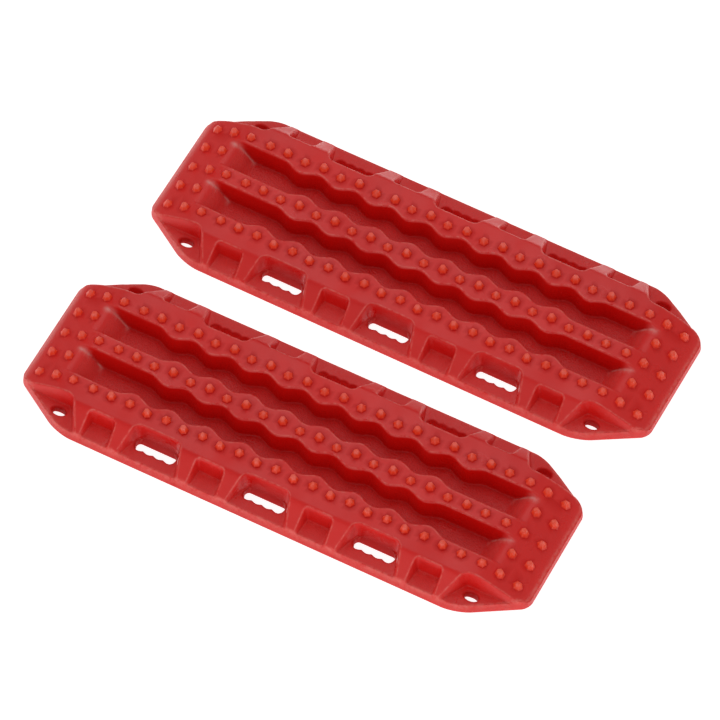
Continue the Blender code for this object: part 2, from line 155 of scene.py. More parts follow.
# lines along the skirt, by their distance inside the outline
SKIRT_RINGS = (0.05, 0.10, 0.125, 0.14, 0.155, 0.17, 0.20, 0.24)
OPENING_RINGS = (0.12, 0.35, 0.65, 1.0, 1.5)  # lines round an opening, in shares of SLOT_EDGE
GRID = 0.25                   # spacing of the plain points between the edges
POINT_CLEARANCE = 0.12        # their least gap to the outline and the studs
ON_LINE = 1e-5                # how near a point counts as lying on a line
SLIVER = 1e-3                 # a triangle with its middle so near the outline is a sliver on it
WELD_GAP = 1e-6               # in metres
SHARP_BEND = math.radians(33)  # bends past this stay sharp

# where the painted light and shade and the pale stress lines go
CHANNEL_HIGHLIGHT_LINE = (0.075, 0.035)        # a painted highlight line's distance from its edge, and its width
POCKET_HIGHLIGHT_LINE = (0.055, 0.03)
POCKET_FOOT_HIGHLIGHT_LINE = (0.02, 0.03)
RIM_HIGHLIGHT_WIDTH = 0.07
RAMP_FOOT_X = 10.45           # x where the marks of the channels' end ramps begin and end
STRESS_AND_HIGHLIGHT_END_X = 11.65
PAINTED_SHEEN_END_X = 11.2
STRESS_AND_HIGHLIGHT_WIDTH = 0.05           # of the pale line along a channel's far wall, partly stress whitening and partly painted highlight, and its widening
STRESS_AND_HIGHLIGHT_WIDENING = 0.07
STRESS_AND_HIGHLIGHT_WIDENS = (11.0, 11.6)
CREASE_WIDTH = 0.09           # of the pale line across the foot of an end ramp, partly stress whitening and partly painted highlight
CREASE_LENGTH = 0.55
PAINTED_SHEEN_ENDS = (11.2, 11.8)      # stretches over which the painted sheen comes in
PAINTED_SHEEN_SIDES = (3.6, 3.9)
PAINTED_SHEEN_SHARE = 0.45
SHADE_WIDTH = 0.12            # of the painted shade low on the channel walls
SHADE_FADES = (11.0, 11.4)


# ---------------------------------------------------------------- small maths
def smooth_min(a, b, k):
    overlap = np.maximum(k - np.abs(a - b), 0.0)
    return np.minimum(a, b) - overlap * overlap / (4 * k)


def smooth_max(a, b, k):
    return -smooth_min(-a, -b, k)


def smooth_step(value, low, high):
    t = np.clip((value - low) / (high - low), 0.0, 1.0)
    return t * t * (3 - 2 * t)


def rounded_inside(a, b, radius):
    """Distance inside two edges at once, with the corner between them rounded."""
    gap_a = np.maximum(radius - a, 0.0)
    gap_b = np.maximum(radius - b, 0.0)
    return np.where((gap_a > 0) & (gap_b > 0), radius - np.hypot(gap_a, gap_b), np.minimum(a, b))


def wall_profile(run, drop, top_radius, foot_radius, steps=5):
    """A drafted wall with a rounded top edge and a rounded foot.

    Returns distances from the wall's top edge and the share of the drop there.
    """
    angle = math.atan2(drop, run)
    reach_top = top_radius * math.tan(angle / 2)
    reach_foot = foot_radius * math.tan(angle / 2)
    turns = [angle * i / steps for i in range(steps + 1)]
    points = []
    for turn in turns:
        s = -reach_top + top_radius * math.sin(turn)
        points.append((s, top_radius * (1 - math.cos(turn))))
    for turn in reversed(turns):
        s = run + reach_foot - foot_radius * math.sin(turn)
        points.append((s, drop - foot_radius * (1 - math.cos(turn))))
    levels = np.array([s for s, depth in points])
    shares = np.array([depth / drop for s, depth in points])
    return levels, shares


CHANNEL_WALL = wall_profile(CHANNEL_DRAFT, DECK - CHANNEL_FLOOR,
                            CHANNEL_TOP_ROUND, CHANNEL_FOOT_ROUND)
POCKET_WALL = wall_profile(POCKET_DRAFT, DECK - FLANGE, POCKET_TOP_ROUND, POCKET_FOOT_ROUND)


# ---------------------------------------------------------------- outline
def slant_normal():
    """Unit normal of the slanted corner edge, in the quarter where x and y are positive."""
    nx, ny = HALF_WIDTH - END_CORNER_Y, HALF_LENGTH - SIDE_CORNER_X
    size = math.hypot(nx, ny)
    return nx / size, ny / size


def corner_distances(x, y):
    """Distances inside the end, the slanted corner and the long side."""
    x, y = np.abs(x), np.abs(y)
    nx, ny = slant_normal()
    slant = nx * (HALF_LENGTH - x) + ny * (END_CORNER_Y - y)
    return HALF_LENGTH - x, slant, HALF_WIDTH - y


def inside_outline(x, y):
    end, slant, side = corner_distances(x, y)
    near_end = rounded_inside(end, slant, END_CORNER_ROUND)
    near_side = rounded_inside(slant, side, SIDE_CORNER_ROUND)
    return np.minimum(near_end, near_side)


def solve_corner(first, second):
    """The point at given distances inside two of the outline's three edges."""
    nx, ny = slant_normal()
    if first[0] == "end":
        x = HALF_LENGTH - first[1]
        return x, END_CORNER_Y - (second[1] - nx * (HALF_LENGTH - x)) / ny
    y = HALF_WIDTH - second[1]
    return HALF_LENGTH - (first[1] - ny * (END_CORNER_Y - y)) / nx, y


def outline_ring(level, steps=14, straight=0.5):
    """The closed line that lies a given distance inside the outline."""
    quarter = []
    for first, second, radius in (("end", "slant", END_CORNER_ROUND),
                                  ("slant", "side", SIDE_CORNER_ROUND)):
        reach = radius - level
        for i in range(steps + 1):
            turn = math.pi / 2 * i / steps
            a = radius - reach * math.cos(turn)
            b = radius - reach * math.sin(turn)
            quarter.append(solve_corner((first, a), (second, b)))
    quarter.insert(0, (HALF_LENGTH - level, 0.0))
    quarter.append((0.0, HALF_WIDTH - level))
    quarter = subdivide(quarter, straight)
    ring = list(quarter)
    ring += [(-x, y) for x, y in reversed(quarter[:-1])]
    ring += [(-x, -y) for x, y in quarter[1:]]
    ring += [(x, -y) for x, y in reversed(quarter[1:-1])]
    return ring


def subdivide(points, longest):
    """Add points so that no stretch of a line is longer than asked."""
    result = [points[0]]
    for (ax, ay), (bx, by) in zip(points, points[1:]):
        count = max(1, math.ceil(math.hypot(bx - ax, by - ay) / longest))
        for i in range(1, count + 1):
            t = i / count
            result.append((ax + (bx - ax) * t, ay + (by - ay) * t))
    return result


# ---------------------------------------------------------------- channels
def ridge_wave(x, reach):
    """Sum of the round bulges along a ridge, and its slope."""
    level = np.zeros_like(x)
    slope = np.zeros_like(x)
    for centre in range(-reach, reach + 1, 2):
        away = x - centre
        inside = np.abs(away) < 1
        level += np.where(inside, 0.5 + 0.5 * np.cos(np.pi * away), 0.0)
        slope += np.where(inside, -0.5 * np.pi * np.sin(np.pi * away), 0.0)
    return level, slope


def middle_edge(x):
    level, slope = ridge_wave(x, MIDDLE_BULGE_REACH)
    return MIDDLE_RIDGE_HALF + MIDDLE_BULGE * level, MIDDLE_BULGE * slope


def outer_edge(x):
    level, slope = ridge_wave(x, OUTER_BULGE_REACH)
    return OUTER_RIDGE_EDGE - OUTER_BULGE * level, -OUTER_BULGE * slope


def channel_walls(x, y):
    """Distances from the middle ridge's wall and from the outer ridge's wall."""
    y = np.abs(y)
    low, low_slope = middle_edge(x)
    high, high_slope = outer_edge(x)
    return (y - low) / np.hypot(1, low_slope), (high - y) / np.hypot(1, high_slope)


def inside_channel(x, y):
    return np.minimum(*channel_walls(x, y))


def channel_floor(x):
    slope = (DECK - CHANNEL_FLOOR) / (CHANNEL_TOP_HALF - CHANNEL_FLOOR_HALF)
    ramp = CHANNEL_FLOOR + (np.abs(x) - CHANNEL_FLOOR_HALF) * slope
    return smooth_max(np.full_like(x, CHANNEL_FLOOR), ramp, RAMP_FOOT_SOFTNESS)


# ---------------------------------------------------------------- pockets
def pocket_list():
    """Each pocket: centre x, inner y, inner half-width, widening, corner radius."""
    pockets = [(centre, *HANDLE_POCKET, HANDLE_POCKET_ROUND) for centre in HANDLE_CENTRES]
    small = (SMALL_POCKET_WIDENING, SMALL_POCKET_ROUND)
    for centre, half in SMALL_POCKETS:
        for end in (-1, 1):
            pockets.append((end * centre, SMALL_POCKET_Y, half, *small))
    return pockets


def inside_pocket(x, y, pocket):
    centre, inner_y, half, widen, radius = pocket
    y = np.abs(y)
    scale = 1 / math.hypot(1, widen)
    inner = y - inner_y
    edge = half + widen * (y - inner_y)
    side = (edge - np.abs(x - centre)) * scale
    return rounded_inside(inner, side, radius)


def inside_corner_pocket(x, y):
    inner_y, inner_x, run = CORNER_POCKET
    scale = 1 / math.hypot(1, run)
    inner = np.abs(y) - inner_y
    side = (np.abs(x) - inner_x + run * inner) * scale
    return rounded_inside(inner, side, CORNER_POCKET_ROUND)


def corner_arc(level, radius, steps=7):
    """Distances inside the inner wall and the side wall, round one corner."""
    reach = radius - level
    turns = [math.pi / 2 * i / steps for i in range(steps + 1)]
    return [(radius - reach * math.cos(t), radius - reach * math.sin(t)) for t in turns]


def pocket_line(pocket, level, rim_y):
    """The line at a given distance inside a pocket's top edge, from rim to rim."""
    centre, inner_y, half, widen, radius = pocket
    scale = math.hypot(1, widen)
    right = []
    for inner, side in corner_arc(level, radius):
        right.append((half + widen * inner - side * scale, inner_y + inner))
    end_x = half + widen * (rim_y - inner_y) - level * scale
    right.append((end_x, rim_y))
    left = [(-x, y) for x, y in reversed(right)]
    return [(centre + x, y) for x, y in subdivide(left + right, 0.3)]


def corner_pocket_line(level, rim_y, clear=0.03):
    """The same for a corner pocket, from just inside the slanted edge to the rim."""
    inner_y, inner_x, run = CORNER_POCKET
    scale = math.hypot(1, run)
    y = inner_y + level
    nx, ny = slant_normal()
    slanted_x = HALF_LENGTH - (y - END_CORNER_Y) * ny / nx
    line = [(min(CORNER_LINE_REACH, slanted_x - clear), y)]
    for inner, side in corner_arc(level, CORNER_POCKET_ROUND):
        line.append((inner_x - run * inner + side * scale, inner_y + inner))
    line.append((inner_x - run * (rim_y - inner_y) + level * scale, rim_y))
    return subdivide(line, 0.3)


# ---------------------------------------------------------------- openings
def slot_outline(inner_y, outer_y, arc_steps=8, wave_steps=48):
    """A hand slot: straight inner edge, four finger scallops on the outer side."""
    half = SLOT_HALF_LENGTH
    corner = min(SLOT_CORNER, 0.95 * (outer_y - inner_y - SLOT_OUTER_CORNER))
    arc = []
    for i in range(arc_steps + 1):
        turn = math.pi / 2 * i / arc_steps
        arc.append((half - corner + corner * math.sin(turn),
                    inner_y + corner - corner * math.cos(turn)))
    fingers = []
    for i in range(wave_steps + 1):
        share = i / wave_steps
        bump = math.sin(math.pi * FINGERS * share) ** 2
        wave = math.sqrt((1 - FINGER_CUSP) * bump + FINGER_CUSP)
        x = half - 2 * half * share
        end = max(0.0, abs(x) - half + SLOT_OUTER_CORNER)
        lift = SLOT_OUTER_CORNER - math.sqrt(max(SLOT_OUTER_CORNER ** 2 - end ** 2, 0.0))
        fingers.append((x, outer_y + FINGER_DEPTH * wave - lift))
    return arc + fingers + [(-x, y) for x, y in reversed(arc)]


def tie_hole_outline(hole, steps=40):
    centre_x, centre_y, half_x, half_y = hole
    turns = [2 * math.pi * i / steps for i in range(steps)]
    return [(centre_x + half_x * math.cos(t), centre_y + half_y * math.sin(t)) for t in turns]


def opening_list(slot_sides, tie_hole):
    """Outlines of every opening of a mat, each as one closed ring."""
    slot = slot_outline(*slot_sides)
    hole = tie_hole_outline(tie_hole)
    rings = []
    for side in (-1, 1):
        for centre in HANDLE_CENTRES:
            rings.append([(centre + x, side * y) for x, y in slot])
        for end in (-1, 1):
            rings.append([(end * x, side * y) for x, y in hole])
    return rings


def offset_ring(ring, distance):
    """Move a closed ring outwards along its normals."""
    points = np.array(ring)
    ahead = np.roll(points, -1, axis=0)
    behind = np.roll(points, 1, axis=0)
    along = ahead - behind
    along /= np.linalg.norm(along, axis=1)[:, None]
    area = np.sum(points[:, 0] * ahead[:, 1] - ahead[:, 0] * points[:, 1])
    normal = np.stack([along[:, 1], -along[:, 0]], axis=1) * (1 if area > 0 else -1)
    return [tuple(p) for p in points + normal * distance]


def inside_ring(points, ring):
    """Which points lie inside a closed ring."""
    ring = np.array(ring)
    ahead = np.roll(ring, -1, axis=0)
    inside = np.zeros(len(points), dtype=bool)
    for (ax, ay), (bx, by) in zip(ring, ahead):
        crosses = (ay > points[:, 1]) != (by > points[:, 1])
        if ay != by:
            at = ax + (points[:, 1] - ay) / (by - ay) * (bx - ax)
            inside ^= crosses & (points[:, 0] < at)
    return inside


def distance_to_ring(points, ring):
    ring = np.array(ring)
    ahead = np.roll(ring, -1, axis=0)
    best = np.full(len(points), 1e9)
    for a, b in zip(ring, ahead):
        edge = b - a
        length = max(float(edge @ edge), 1e-12)
        t = np.clip(((points - a) @ edge) / length, 0, 1)
        away = points - (a + t[:, None] * edge)
        best = np.minimum(best, np.hypot(away[:, 0], away[:, 1]))
    return best


def points_on_ring(points, ring):
    """The points that lie on a closed ring, as (place along it, index) in order."""
    ring = np.array(ring)
    edges = np.roll(ring, -1, axis=0) - ring
    found = []
    for index in np.where(distance_to_ring(points, ring) < ON_LINE)[0]:
        away = points[index] - ring
        t = np.clip((away * edges).sum(axis=1) / (edges * edges).sum(axis=1), 0, 1)
        gap = np.linalg.norm(away - t[:, None] * edges, axis=1)
        nearest = int(np.argmin(np.round(gap, 7)))
        found.append((nearest + float(t[nearest]), int(index)))
    return sorted(found)


def stitch(upper, lower, length):
    """Triangles between two closed rings of points."""
    upper = upper + [(length, upper[0][1])]
    lower = lower + [(length, lower[0][1])]
    i = j = 0
    faces = []
    while i < len(upper) - 1 or j < len(lower) - 1:
        done_lower = j == len(lower) - 1
        if done_lower or (i < len(upper) - 1 and upper[i + 1][0] <= lower[j + 1][0]):
            faces.append((upper[i][1], upper[i + 1][1], lower[j][1]))
            i += 1
        else:
            faces.append((upper[i][1], lower[j + 1][1], lower[j][1]))
            j += 1
    return faces


# ---------------------------------------------------------------- studs
def stud_places():
    """Each stud's centre, and whether its hexagon is turned by half a side."""
    places = []
    for row in (-1, 0, 1):
        for column in range(-STUD_COLUMNS, STUD_COLUMNS + 1):
            shift = 0.0
            if abs(column) <= ZIGZAG_REACH:
                shift = ZIGZAG * (-1) ** (column + 1)
            if row != 0:
                shift *= row
            places.append((float(column), row * ROW_SPACING + shift, column % 2))
        for i, x in enumerate(END_COLUMNS):
            places += [(x, row * ROW_SPACING, i % 2), (-x, row * ROW_SPACING, i % 2)]
    for x in END_COLUMNS[1:]:
        for y in (-EXTRA_STUD_Y, EXTRA_STUD_Y):
            places += [(x, y, 1), (-x, y, 1)]
    return places


def hex_distance(dx, dy, turned):
    """Distance from a stud's axis over its six flats, and how near a corner it is."""
    over_flats = []
    for i in range(3):
        turn = math.radians(60 * i + (0 if turned else 30))
        over_flats.append(np.abs(dx * math.cos(turn) + dy * math.sin(turn)))
    over_flats = np.sort(np.array(over_flats), axis=0)
    return over_flats[2], over_flats[2] - over_flats[1]


def hex_ring(centre, half_width, turned, per_side=4):
    corners = []
    for i in range(6):
        turn = math.radians(60 * i + (30 if turned else 0))
        reach = half_width / math.cos(math.radians(30))
        corners.append((centre[0] + reach * math.cos(turn), centre[1] + reach * math.sin(turn)))
    ring = []
    for a, b in zip(corners, corners[1:] + corners[:1]):
        for i in range(per_side):
            t = i / per_side
            ring.append((a[0] + (b[0] - a[0]) * t, a[1] + (b[1] - a[1]) * t))
    return ring


# ---------------------------------------------------------------- the top surface
def skirt_height(x, y):
    side_slope = FLANGE / SKIRT_RUN
    end_slope = END_EDGE / END_SKIRT_RUN
    slope = side_slope + (end_slope - side_slope) * smooth_step(np.abs(x), *SKIRT_CHANGE)
    return np.maximum(inside_outline(x, y), 0.0) * slope


def slant_height(x, y):
    """The plane between the deck's corner, the nose's corner and the skirt."""
    deck = Vector((RAMP_START, DECK_HALF_WIDTH, DECK))
    nose = Vector((NOSE_START, NOSE_HALF_WIDTH, NOSE_HEIGHT))
    skirt = Vector(SLANT_FOOT)
    normal = (nose - deck).cross(skirt - deck)
    return deck.z - (normal.x * (np.abs(x) - deck.x) + normal.y * (np.abs(y) - deck.y)) / normal.z


def blank_height(x, y):
    """Deck, ribs' slope, end ramp, nose and skirt, before anything is cut."""
    side_fall = (DECK - RIB_FOOT) / (RIB_FOOT_Y - DECK_HALF_WIDTH)
    side = DECK - (np.abs(y) - DECK_HALF_WIDTH) * side_fall
    ramp = DECK - (np.abs(x) - RAMP_START) * RAMP_FALL
    nose = NOSE_HEIGHT - (np.abs(x) - NOSE_START)
    z = smooth_min(np.full_like(x, DECK), side, DECK_SOFTNESS)
    z = smooth_min(z, ramp, END_SOFTNESS)
    z = smooth_min(z, slant_height(x, y), CREASE_SOFTNESS)
    z = smooth_min(z, nose, END_SOFTNESS)
    return smooth_min(z, skirt_height(x, y), CREASE_SOFTNESS)


def edge_mark(distance, width):
    """One along the line where the distance is nought, fading out on both sides."""
    return np.exp(-(distance / width) ** 2)


def ramp_mark(far_out, low, high):
    """One over the stretch of the channels' end ramps."""
    return smooth_step(far_out, low, low + 0.3) * (1 - smooth_step(far_out, high, high + 0.4))


def cut_channels(x, y, base):
    """The blank with its channels cut, and the masks that begin with them."""
    channel = inside_channel(x, y)
    floor = np.minimum(smooth_min(channel_floor(x), base, RAMP_TOP_SOFTNESS), base)
    share = np.interp(channel, *CHANNEL_WALL)
    depth = base - floor
    foot = CHANNEL_WALL[0][-1]
    far_out = np.abs(x)

    # pale lines, partly stress whitening and partly painted highlight, on the far wall of each
    # channel, and a crease line at the foot of its ramps
    from_middle, from_outer = channel_walls(x, y)
    far_wall = np.where(y > 0, from_outer, from_middle)
    width = STRESS_AND_HIGHLIGHT_WIDTH + STRESS_AND_HIGHLIGHT_WIDENING * smooth_step(far_out, *STRESS_AND_HIGHLIGHT_WIDENS)
    stress_and_highlight = edge_mark(far_wall - foot, width) * ramp_mark(far_out, RAMP_FOOT_X, STRESS_AND_HIGHLIGHT_END_X)
    crease = edge_mark(far_out - CHANNEL_FLOOR_HALF, CREASE_WIDTH)
    crease = crease * np.clip(1 - far_wall / CREASE_LENGTH, 0, 1)
    stress_and_highlight = np.maximum(stress_and_highlight, crease * (channel > foot - 0.03))

    # painted sheen: a paler red on the end ramps' floors, the ends and the sides
    on_floor = np.where(channel > foot, 1.0, 0.0)
    painted_sheen = on_floor * ramp_mark(far_out, RAMP_FOOT_X, PAINTED_SHEEN_END_X)
    painted_sheen = np.maximum(painted_sheen, smooth_step(far_out, *PAINTED_SHEEN_ENDS) * PAINTED_SHEEN_SHARE)
    painted_sheen = np.maximum(painted_sheen, smooth_step(np.abs(y), *PAINTED_SHEEN_SIDES) * PAINTED_SHEEN_SHARE)

    # painted shade low on the channel walls, fading towards the ends
    low_on_wall = edge_mark(channel - foot * 0.7, SHADE_WIDTH)
    # painted highlight along the channels' top edges
    away, width = CHANNEL_HIGHLIGHT_LINE
    paint = {
        "stud": np.zeros_like(x),
        "grain": share * (depth > 0.3),
        "painted_highlight": edge_mark(channel + away, width) * np.clip(depth * 2, 0, 1),
        "stress_and_highlight": stress_and_highlight,
        "painted_sheen": painted_sheen,
        "painted_shade": low_on_wall * (1 - smooth_step(far_out, *SHADE_FADES)) * 0.55,
    }
    return np.minimum(base, base - depth * share), paint


def cut_pockets(x, y, base, z, paint):
    """The skin with its side and corner pockets cut down to the flange."""
    skirt = skirt_height(x, y)
    flange = np.minimum(smooth_min(np.full_like(x, FLANGE), skirt, CREASE_SOFTNESS), base)
    above_flange = base > FLANGE + 0.04
    wall_foot = POCKET_WALL[0][-1]
    away, width = POCKET_HIGHLIGHT_LINE
    foot_away, foot_width = POCKET_FOOT_HIGHLIGHT_LINE
    insides = [inside_pocket(x, y, pocket) for pocket in pocket_list()]
    for inside in insides + [inside_corner_pocket(x, y)]:
        share = np.interp(inside, *POCKET_WALL)
        z = np.minimum(z, base + (flange - base) * share)
        # painted highlights along the pockets' top edges and at their feet
        edge_highlight = edge_mark(inside + away, width) * above_flange
        foot = edge_mark(inside - wall_foot - foot_away, foot_width)
        paint["grain"] = np.maximum(paint["grain"], share * 0.6)
        # painted shade half way down the pockets' walls
        paint["painted_shade"] = np.maximum(paint["painted_shade"], 2 * np.minimum(share, 1 - share) * 0.4)
        paint["painted_highlight"] = np.maximum(paint["painted_highlight"], np.maximum(edge_highlight, foot * 0.5))
    # painted highlight along the skirt's top edge, round the outline
    rim = edge_mark(inside_outline(x, y) - SKIRT_RUN, RIM_HIGHLIGHT_WIDTH)
    paint["painted_highlight"] = np.maximum(paint["painted_highlight"], rim * 0.8)
    return z


def round_openings(x, y, z, paint, margin=0.2):
    """Round the edges of the hand slots and tie-down holes, and paint shade into them."""
    points = np.stack([x, y], axis=1)
    for ring in opening_list(SLOT_TOP, TIE_HOLE):
        low, high = np.min(ring, axis=0) - margin, np.max(ring, axis=0) + margin
        near = np.all((points > low) & (points < high), axis=1)
        gap = SLOT_EDGE - np.minimum(distance_to_ring(points[near], ring), SLOT_EDGE)
        round_off = SLOT_EDGE - np.sqrt(SLOT_EDGE ** 2 - gap ** 2)
        # no rounding where the slot's inner edge lies close to the pocket's wall
        off_wall = smooth_step(np.abs(y[near]), SLOT_TOP[0] + 0.02, SLOT_TOP[0] + 0.15)
        z[near] -= round_off * off_wall
        # painted shade round the openings, deepest at their edges
        paint["painted_shade"][near] = np.maximum(paint["painted_shade"][near], gap / SLOT_EDGE)


def raise_studs(x, y, z, paint, reach=0.4):
    """Raise the studs from the deck, with masks for their painted orange glow, painted shade round
    their feet and painted highlights on their edges.
    """
    for cx, cy, turned in stud_places():
        near = np.where((np.abs(x - cx) < reach) & (np.abs(y - cy) < reach))[0]
        away, off_corner = hex_distance(x[near] - cx, y[near] - cy, turned)
        shape = BLUNT_STUD if turned else POINTED_STUD
        rise = np.interp(away, *zip(*shape))
        foot = blank_height(np.array([cx]), np.array([cy]))[0]
        z[near] += (foot + STUD_HEIGHT - z[near]) * rise

        # painted highlights on the tip's rim, on the tip and along the corner edges
        tip = shape[2][0]
        on_edge = (off_corner < 0.01) & (away < STUD_BASE + 0.02) & (away > tip - 0.01)
        on_rim = np.abs(away - tip) < 0.01
        stud_highlight = np.where(on_rim, 1.0, np.where(on_edge, 0.30, np.where(away < tip, 0.6, 0.0)))
        # masks for the painted orange glow, painted shade round the foot and painted highlights
        marks = {"stud": np.clip((STUD_REACH - away) / 0.06, 0, 1),
                 "painted_shade": edge_mark(away - STUD_REACH, 0.02) * 0.6,
                 "painted_highlight": stud_highlight}
        for name, mark in marks.items():
            paint[name][near] = np.maximum(paint[name][near], mark)


def top_height(x, y):
    """Height of the top skin at plan points, and masks for the finish."""
    base = blank_height(x, y)
    z, paint = cut_channels(x, y, base)
    z = cut_pockets(x, y, base, z, paint)
    round_openings(x, y, z, paint)
    raise_studs(x, y, z, paint)
    return z, paint


# ---------------------------------------------------------------- triangulation
class Plan:
    """Points and lines of one skin, seen from above."""

    def __init__(self):
        self.points = []
        self.lines = []

    def line(self, points, closed=False):
        first = len(self.points)
        self.points += points
        count = len(points)
        self.lines += [(first + i, first + i + 1) for i in range(count - 1)]
        if closed:
            self.lines.append((first + count - 1, first))
        return list(range(first, first + count))

    def triangulate(self):
        """Triangles over the plan, and where each given point went."""
        coords = [Vector(p) for p in self.points]
        made = delaunay_2d_cdt(coords, self.lines, [], 0, 1e-6, True)
        xy = np.array([tuple(v) for v in made[0]])
        triangles = np.array([tuple(f) for f in made[2]])
        where = {}
        for new, olds in enumerate(made[3]):
            for old in olds:
                where[old] = new
        return xy, triangles, where


def keep_material(xy, triangles, openings):
    """Drop the triangles outside the outline and inside the openings."""
    middle = xy[triangles].mean(axis=1)
    keep = inside_outline(middle[:, 0], middle[:, 1]) > SLIVER
    for ring in openings:
        low, high = np.min(ring, axis=0), np.max(ring, axis=0)
        near = np.where(np.all((middle > low) & (middle < high), axis=1))[0]
        keep[near[inside_ring(middle[near], ring)]] = False
    return triangles[keep]


def channel_lines(plan):
    """Lines along both walls of both channels, and across their end ramps."""
    wavy = 9.1                # the walls wind up to here, and need closer points
    x = np.concatenate([
        np.arange(-CHANNEL_REACH, -wavy, 0.25),
        np.arange(-wavy, wavy + 0.01, 0.1),
        np.arange(wavy + 0.15, CHANNEL_REACH + 0.01, 0.25)])
    low, low_slope = middle_edge(x)
    high, high_slope = outer_edge(x)
    levels = list(CHANNEL_WALL[0])
    margin = 0.06
    for level in [levels[0] - margin] + levels + [levels[-1] + margin]:
        for side in (-1, 1):
            inner = low + level * np.hypot(1, low_slope)
            outer = high - level * np.hypot(1, high_slope)
            plan.line(list(zip(x, side * inner)))
            plan.line(list(zip(x, side * outer)))
    ramp_foot = 10.3
    from_wall_to_wall = (0.36, 2.26)
    for at in np.arange(ramp_foot, CHANNEL_REACH, 0.07):
        for end in (-1, 1):
            for side in (-1, 1):
                line = [(end * at, side * y) for y in from_wall_to_wall]
                plan.line(subdivide(line, 0.15))


def pocket_lines(plan):
    """Lines down the walls of every pocket, open towards the mat's rim."""
    levels = [POCKET_WALL[0][0] - 0.05] + list(POCKET_WALL[0])
    rim_y = HALF_WIDTH - 0.06
    for level in levels:
        for side in (-1, 1):
            for pocket in pocket_list():
                line = pocket_line(pocket, level, rim_y)
                plan.line([(x, side * y) for x, y in line])
            for end in (-1, 1):
                line = corner_pocket_line(level, rim_y)
                plan.line([(end * x, side * y) for x, y in line])


def stud_lines(plan):
    """Hexagons round every stud, at each step of its profile."""
    for x, y, turned in stud_places():
        for level, rise in (BLUNT_STUD if turned else POINTED_STUD)[1:]:
            plan.line(hex_ring((x, y), level, turned), closed=True)
        plan.line([(x, y)])


def straight_lines(plan):
    """Lines along the soft bends of the deck, the ribs' feet, the end ramps and the noses."""
    bends = [(DECK_HALF_WIDTH + step, 11.9) for step in (-0.15, -0.08, 0.0, 0.08, 0.15)]
    bends += [(RIB_FOOT_Y + step, 10.7) for step in (-0.08, -0.04, 0.0, 0.04, 0.07)]
    for at, reach in bends:
        for side in (-1, 1):
            plan.line(subdivide([(-reach, side * at), (reach, side * at)], 0.35))
    half_width = 2.8
    ramp_tops = np.arange(10.95, 11.8, 0.1)
    nose_tops = np.arange(13.1, 13.78, 0.06)
    for at in list(ramp_tops) + list(nose_tops):
        for end in (-1, 1):
            plan.line(subdivide([(end * at, -half_width), (end * at, half_width)], 0.3))


def plain_points(plan, spacing):
    """Points on the plain stretches, clear of every edge."""
    x = np.arange(-HALF_LENGTH + 0.1, HALF_LENGTH, spacing)
    y = np.arange(-HALF_WIDTH + 0.1, HALF_WIDTH, spacing)
    x, y = [a.ravel() for a in np.meshgrid(x, y)]
    clear = inside_outline(x, y) > POINT_CLEARANCE
    walls = [(inside_channel(x, y), CHANNEL_WALL), (inside_corner_pocket(x, y), POCKET_WALL)]
    walls += [(inside_pocket(x, y, pocket), POCKET_WALL) for pocket in pocket_list()]
    for inside, profile in walls:
        clear &= (inside < profile[0][0] - 0.10) | (inside > profile[0][-1] + 0.05)
    for cx, cy, turned in stud_places():
        clear &= hex_distance(x - cx, y - cy, turned)[0] > STUD_BASE + POINT_CLEARANCE
    plan.points += list(zip(x[clear], y[clear]))


def top_skin(openings):
    """The skin seen from above: points, triangles, rims of the openings and masks."""
    plan = Plan()
    plan.line(outline_ring(0.0), closed=True)
    for level in SKIRT_RINGS:
        plan.line(outline_ring(level), closed=True)
    channel_lines(plan)
    pocket_lines(plan)
    stud_lines(plan)
    straight_lines(plan)
    plain_points(plan, GRID)
    for ring in openings:
        plan.line(ring, closed=True)
        for share in OPENING_RINGS:
            plan.line(offset_ring(ring, SLOT_EDGE * share), closed=True)
    xy, triangles, _ = plan.triangulate()
    triangles = keep_material(xy, triangles, openings)
    z, paint = top_height(xy[:, 0], xy[:, 1])
    rims = [points_on_ring(xy, ring) for ring in openings]
    return np.column_stack([xy, z]), triangles, rims, paint


# ---------------------------------------------------------------- the underside
def cell_spans():
    """Stretches of x between the cross ribs."""
    ribs = [float(i) for i in range(-STUD_COLUMNS, STUD_COLUMNS + 1, HOLLOW_SPAN)]
    ribs = [-RAMP_START] + ribs + [RAMP_START]
    return [(a + RIB_HALF, b - RIB_HALF) for a, b in zip(ribs, ribs[1:])]


def ridge_cells(point_step=0.12, margin=0.30):
    """Outlines of the hollows under the three ridges."""
    slack = WALL + CHANNEL_DRAFT / 2
    pocket_edge = HANDLE_POCKET[0] - WALL
    cells = []
    for start, stop in cell_spans():
        x = np.linspace(start, stop, max(3, int((stop - start) / point_step)))
        low = middle_edge(x)[0] - slack
        high = outer_edge(x)[0] + slack
        cells.append(list(zip(x, -low)) + list(zip(x[::-1], low[::-1])))
        edge = np.full_like(x, SMALL_POCKET_Y - WALL)
        for centre in HANDLE_CENTRES:
            edge = np.where(np.abs(x - centre) < HANDLE_POCKET[1] + margin, pocket_edge, edge)
        edge = np.where(np.abs(x) > CORNER_POCKET[1] - margin, pocket_edge, edge)
        outer = list(zip(x, high)) + list(zip(x[::-1], edge[::-1]))
        cells.append(outer)
        cells.append([(px, -py) for px, py in outer])
    return cells


def box_ring(x0, x1, y0, y1):
    return subdivide([(x0, y0), (x1, y0), (x1, y1), (x0, y1), (x0, y0)], 0.5)[:-1]


def channel_floor_cells():
    """Outlines of the shallow recesses under the channel floors."""
    near, far = CHANNEL_HOLLOW
    cells = []
    for start, stop in cell_spans():
        start = max(start, -CHANNEL_FLOOR_HALF)
        stop = min(stop, CHANNEL_FLOOR_HALF)
        cells.append(box_ring(start, stop, near, far))
        cells.append(box_ring(start, stop, -far, -near))
    return cells


